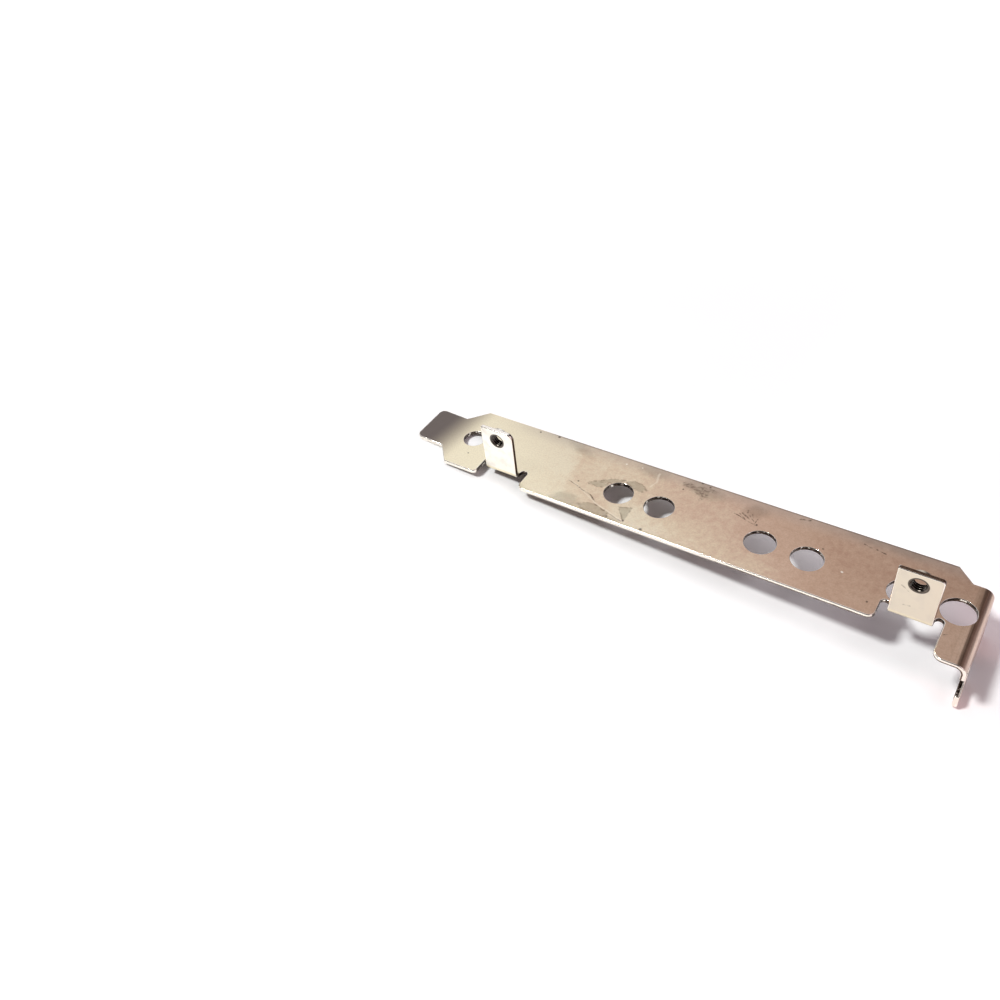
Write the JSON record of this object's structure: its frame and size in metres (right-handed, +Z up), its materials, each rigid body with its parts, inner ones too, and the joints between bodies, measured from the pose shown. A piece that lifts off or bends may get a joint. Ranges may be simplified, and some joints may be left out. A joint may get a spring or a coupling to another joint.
{
  "type": "pci slot cover bracket",
  "caption": "Full-height slot bracket folded from plated steel sheet: long plate with round connector holes, tongue, slotted screw flange and tapped card tabs.",
  "frame": {"origin": "on the ground under the middle of the box round the bracket as it lies, tabs up, on the tip of its tongue and the end of its flange", "axes": "+X along the bracket from tongue to flange, +Y across it away from the tabs' edge, +Z up; the plate itself rises 5.26 degrees towards +X"},
  "size_m": [0.121, 0.022, 0.022],
  "materials": {
    "plated_steel": "rolled steel sheet with a warm, half-bright nickel plate, stained in places"
  },
  "bodies": {
    "root": {"bracket": "plated_steel"}
  },
  "joints": []
}
